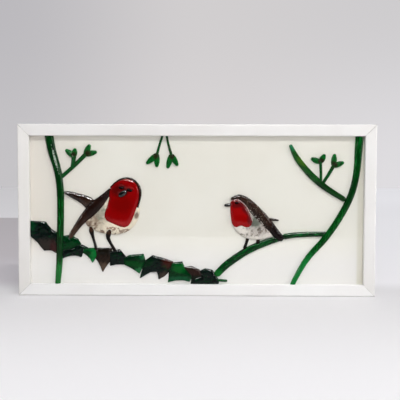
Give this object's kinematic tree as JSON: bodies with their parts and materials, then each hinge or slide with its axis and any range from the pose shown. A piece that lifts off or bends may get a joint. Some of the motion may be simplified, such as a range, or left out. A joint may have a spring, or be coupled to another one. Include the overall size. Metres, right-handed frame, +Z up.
{
  "type": "framed fused glass panel",
  "caption": "Landscape panel of coloured glass fused on a cream glass sheet, with robins, ivy and branches, in a deep white mitred box frame that stands or hangs.",
  "frame": {"origin": "under the middle of the frame, on the surface that it stands on", "axes": "+X to the viewer's right along the frame, +Y from the picture to the frame's back, +Z up"},
  "size_m": [0.52, 0.045, 0.25],
  "materials": {
    "white_paint": "satin white paint or foil over wood",
    "cream_glass": "glossy opal glass",
    "hardboard": "plain hardboard",
    "spring_steel": "plain",
    "stem_green_glass": "glossy fused glass",
    "branch_green_glass": "glossy fused glass with dark streaks",
    "sprig_green_glass": "glossy fused glass",
    "leaf_green_glass": "glossy fused glass",
    "leaf_charcoal_glass": "glossy fused glass with streaks",
    "leaf_brown_glass": "glossy fused glass",
    "robin_red_glass": "glossy fused glass",
    "robin_brown_glass": "fused glass with powder and sparkles",
    "robin_white_glass": "fused glass with brown and grey frit",
    "black_glass": "glossy fused glass"
  },
  "bodies": {
    "root": {"frame_top_rail": "white_paint", "frame_bottom_rail": "white_paint", "frame_left_rail": "white_paint", "frame_right_rail": "white_paint", "glass_base_sheet": "cream_glass", "backing_board": "hardboard", "spring_tab_1": "spring_steel", "spring_tab_2": "spring_steel", "spring_tab_3": "spring_steel", "spring_tab_4": "spring_steel", "spring_tab_5": "spring_steel", "spring_tab_6": "spring_steel", "left_stem": "stem_green_glass", "right_stem": "stem_green_glass", "upper_branch": "branch_green_glass", "perch_branch": "branch_green_glass", "perch_twig": "branch_green_glass", "ivy_leaf_02": "leaf_green_glass", "ivy_leaf_04": "leaf_green_glass", "ivy_leaf_07": "leaf_green_glass", "ivy_leaf_09": "leaf_green_glass", "ivy_leaf_01": "leaf_charcoal_glass", "ivy_leaf_03": "leaf_charcoal_glass", "ivy_leaf_06": "leaf_charcoal_glass", "ivy_leaf_08": "leaf_charcoal_glass", "ivy_leaf_11": "leaf_charcoal_glass", "ivy_leaf_05": "leaf_brown_glass", "ivy_leaf_10": "leaf_brown_glass", "ivy_tendril": "sprig_green_glass", "sprig_left_long_stalk": "sprig_green_glass", "sprig_left_long_leaves": "sprig_green_glass", "sprig_left_short_stalk": "sprig_green_glass", "sprig_left_short_leaves": "sprig_green_glass", "sprig_top_left_stalk": "sprig_green_glass", "sprig_top_left_leaves": "sprig_green_glass", "sprig_top_right_stalk": "sprig_green_glass", "sprig_top_right_leaves": "sprig_green_glass", "sprig_right_upright_stalk": "sprig_green_glass", "sprig_right_upright_leaves": "sprig_green_glass", "sprig_right_leaning_stalk": "sprig_green_glass", "sprig_right_leaning_leaves": "sprig_green_glass", "left_robin_breast": "robin_red_glass", "left_robin_belly": "robin_white_glass", "left_robin_back": "robin_brown_glass", "left_robin_beak": "black_glass", "left_robin_leg_1": "black_glass", "left_robin_leg_2": "black_glass", "right_robin_breast": "robin_red_glass", "right_robin_belly": "robin_white_glass", "right_robin_back": "robin_brown_glass", "right_robin_beak": "black_glass", "right_robin_leg_1": "black_glass", "right_robin_leg_2": "black_glass", "left_robin_wing": "robin_brown_glass", "left_robin_crown": "robin_brown_glass", "right_robin_wing_tip": "robin_brown_glass", "left_robin_eye_1": "black_glass", "left_robin_eye_2": "black_glass", "right_robin_eye": "black_glass"}
  },
  "joints": []
}
